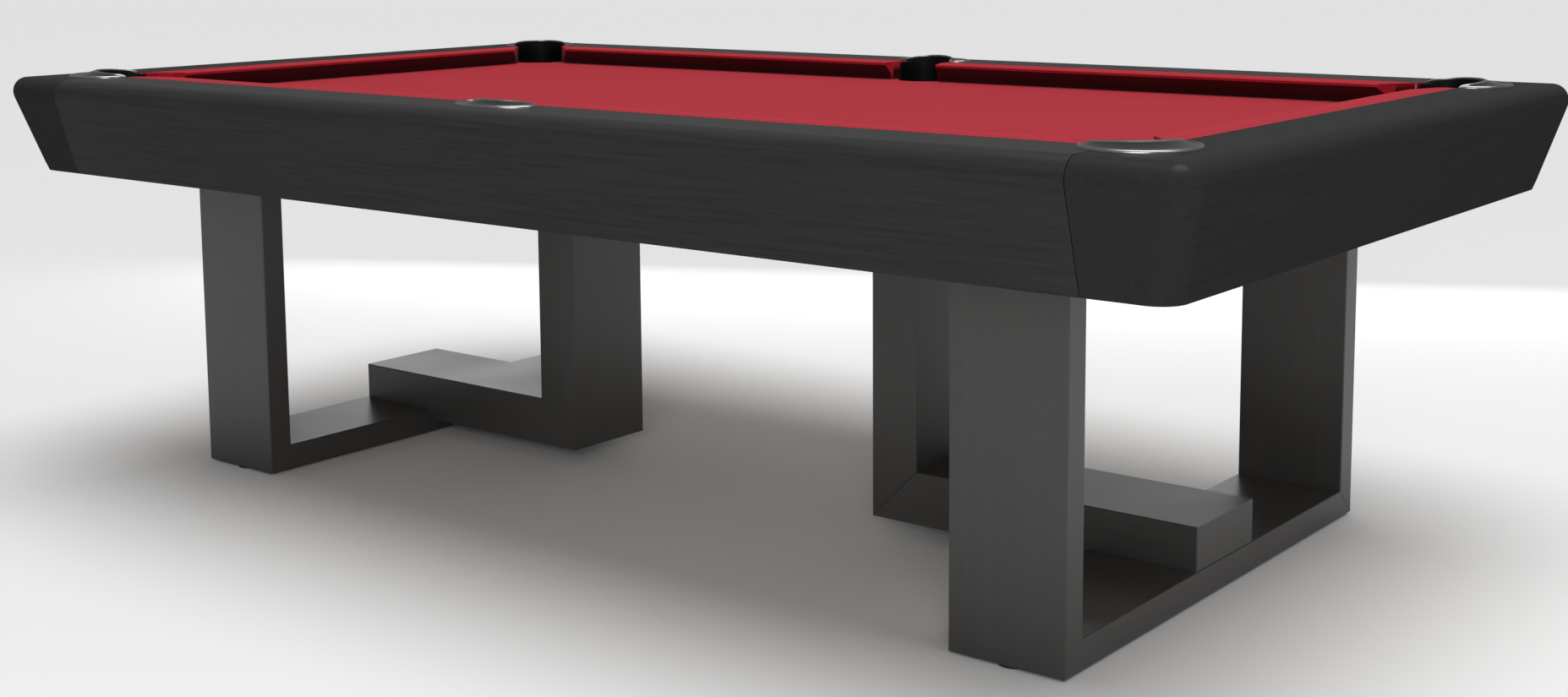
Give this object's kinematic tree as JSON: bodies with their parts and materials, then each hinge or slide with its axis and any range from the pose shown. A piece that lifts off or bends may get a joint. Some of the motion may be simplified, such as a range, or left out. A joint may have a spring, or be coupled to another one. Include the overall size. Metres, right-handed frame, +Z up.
{
  "type": "pool table",
  "caption": "Slate pool table with six drop pockets, cloth-covered cushions and a flared cabinet on two crossed leg frames with screw-adjusted feet.",
  "frame": {"origin": "on the floor under the middle of the table", "axes": "+X along the table's length, +Y across its width, +Z up"},
  "size_m": [2.6402, 1.5232, 0.813],
  "materials": {
    "cabinet_paint": "satin painted",
    "leg_paint": "satin painted",
    "timber": "sawn",
    "slate": "honed",
    "red_cloth": "worsted wool",
    "cushion_rubber": "matte",
    "strip_plastic": "matte",
    "pewter": "polished pewter-coloured plating",
    "pocket_rubber": "satin",
    "zinc_steel": "zinc plated",
    "black_steel": "powder coated",
    "foot_plastic": "matte"
  },
  "bodies": {
    "table": {"outer_floor_rail_left": "leg_paint", "inner_leg_left": "leg_paint", "inner_floor_rail_left": "leg_paint", "outer_leg_front_left": "leg_paint", "cushion_cloth_front_left": "red_cloth", "pocket_casting_front_left": "pewter", "pocket_bucket_front_left": "pocket_rubber", "outer_leg_back_left": "leg_paint", "cushion_cloth_back_left": "red_cloth", "pocket_casting_back_left": "pewter", "pocket_bucket_back_left": "pocket_rubber", "end_apron_left": "cabinet_paint", "cushion_cloth_end_left": "red_cloth", "outer_floor_rail_right": "leg_paint", "inner_leg_right": "leg_paint", "inner_floor_rail_right": "leg_paint", "outer_leg_front_right": "leg_paint", "cushion_cloth_front_right": "red_cloth", "pocket_casting_front_right": "pewter", "pocket_bucket_front_right": "pocket_rubber", "outer_leg_back_right": "leg_paint", "cushion_cloth_back_right": "red_cloth", "pocket_casting_back_right": "pewter", "pocket_bucket_back_right": "pocket_rubber", "end_apron_right": "cabinet_paint", "cushion_cloth_end_right": "red_cloth", "side_apron_front": "cabinet_paint", "pocket_casting_front_middle": "pewter", "pocket_bucket_front_middle": "pocket_rubber", "side_apron_back": "cabinet_paint", "pocket_casting_back_middle": "pewter", "pocket_bucket_back_middle": "pocket_rubber", "foot_inserts": "zinc_steel", "leg_top_plates": "black_steel", "hex_bolts": "zinc_steel", "cross_beams": "timber", "stretchers": "timber", "slate_liner": "timber", "slate_left": "slate", "slate_middle": "slate", "slate_right": "slate", "slate_screws": "zinc_steel", "bed_cloth": "red_cloth", "cushion_rubbers": "cushion_rubber", "sub_rails": "timber", "feather_strips": "strip_plastic", "joint_plates": "black_steel", "wood_screws": "zinc_steel"},
    "pad_front_left": {"foot_pad_front_left": "foot_plastic"},
    "stud_front_left": {"foot_stud_front_left": "zinc_steel"},
    "pad_front_right": {"foot_pad_front_right": "foot_plastic"},
    "stud_front_right": {"foot_stud_front_right": "zinc_steel"},
    "pad_back_left": {"foot_pad_back_left": "foot_plastic"},
    "stud_back_left": {"foot_stud_back_left": "zinc_steel"},
    "pad_back_right": {"foot_pad_back_right": "foot_plastic"},
    "stud_back_right": {"foot_stud_back_right": "zinc_steel"}
  },
  "joints": [
    {"name": "foot_lift_front_left", "type": "slide", "parent": "table", "child": "pad_front_left", "axis": [0, 0, -1], "range_m": [0, 0.012]},
    {"name": "foot_screw_front_left", "type": "hinge", "parent": "pad_front_left", "child": "stud_front_left", "pos_m": [-0.916, -0.499, 0.03], "axis": [0, 0, 1], "range_deg": [0, 2470]},
    {"name": "foot_lift_front_right", "type": "slide", "parent": "table", "child": "pad_front_right", "axis": [0, 0, -1], "range_m": [0, 0.012]},
    {"name": "foot_screw_front_right", "type": "hinge", "parent": "pad_front_right", "child": "stud_front_right", "pos_m": [0.916, -0.499, 0.03], "axis": [0, 0, 1], "range_deg": [0, 2470]},
    {"name": "foot_lift_back_left", "type": "slide", "parent": "table", "child": "pad_back_left", "axis": [0, 0, -1], "range_m": [0, 0.012]},
    {"name": "foot_screw_back_left", "type": "hinge", "parent": "pad_back_left", "child": "stud_back_left", "pos_m": [-0.916, 0.499, 0.03], "axis": [0, 0, 1], "range_deg": [0, 2470]},
    {"name": "foot_lift_back_right", "type": "slide", "parent": "table", "child": "pad_back_right", "axis": [0, 0, -1], "range_m": [0, 0.012]},
    {"name": "foot_screw_back_right", "type": "hinge", "parent": "pad_back_right", "child": "stud_back_right", "pos_m": [0.916, 0.499, 0.03], "axis": [0, 0, 1], "range_deg": [0, 2470]}
  ],
  "couplings": [
    {"joint": "foot_screw_front_left", "follows": "foot_lift_front_left", "rad_per_m": 3590.4},
    {"joint": "foot_screw_front_right", "follows": "foot_lift_front_right", "rad_per_m": 3590.4},
    {"joint": "foot_screw_back_left", "follows": "foot_lift_back_left", "rad_per_m": 3590.4},
    {"joint": "foot_screw_back_right", "follows": "foot_lift_back_right", "rad_per_m": 3590.4}
  ]
}
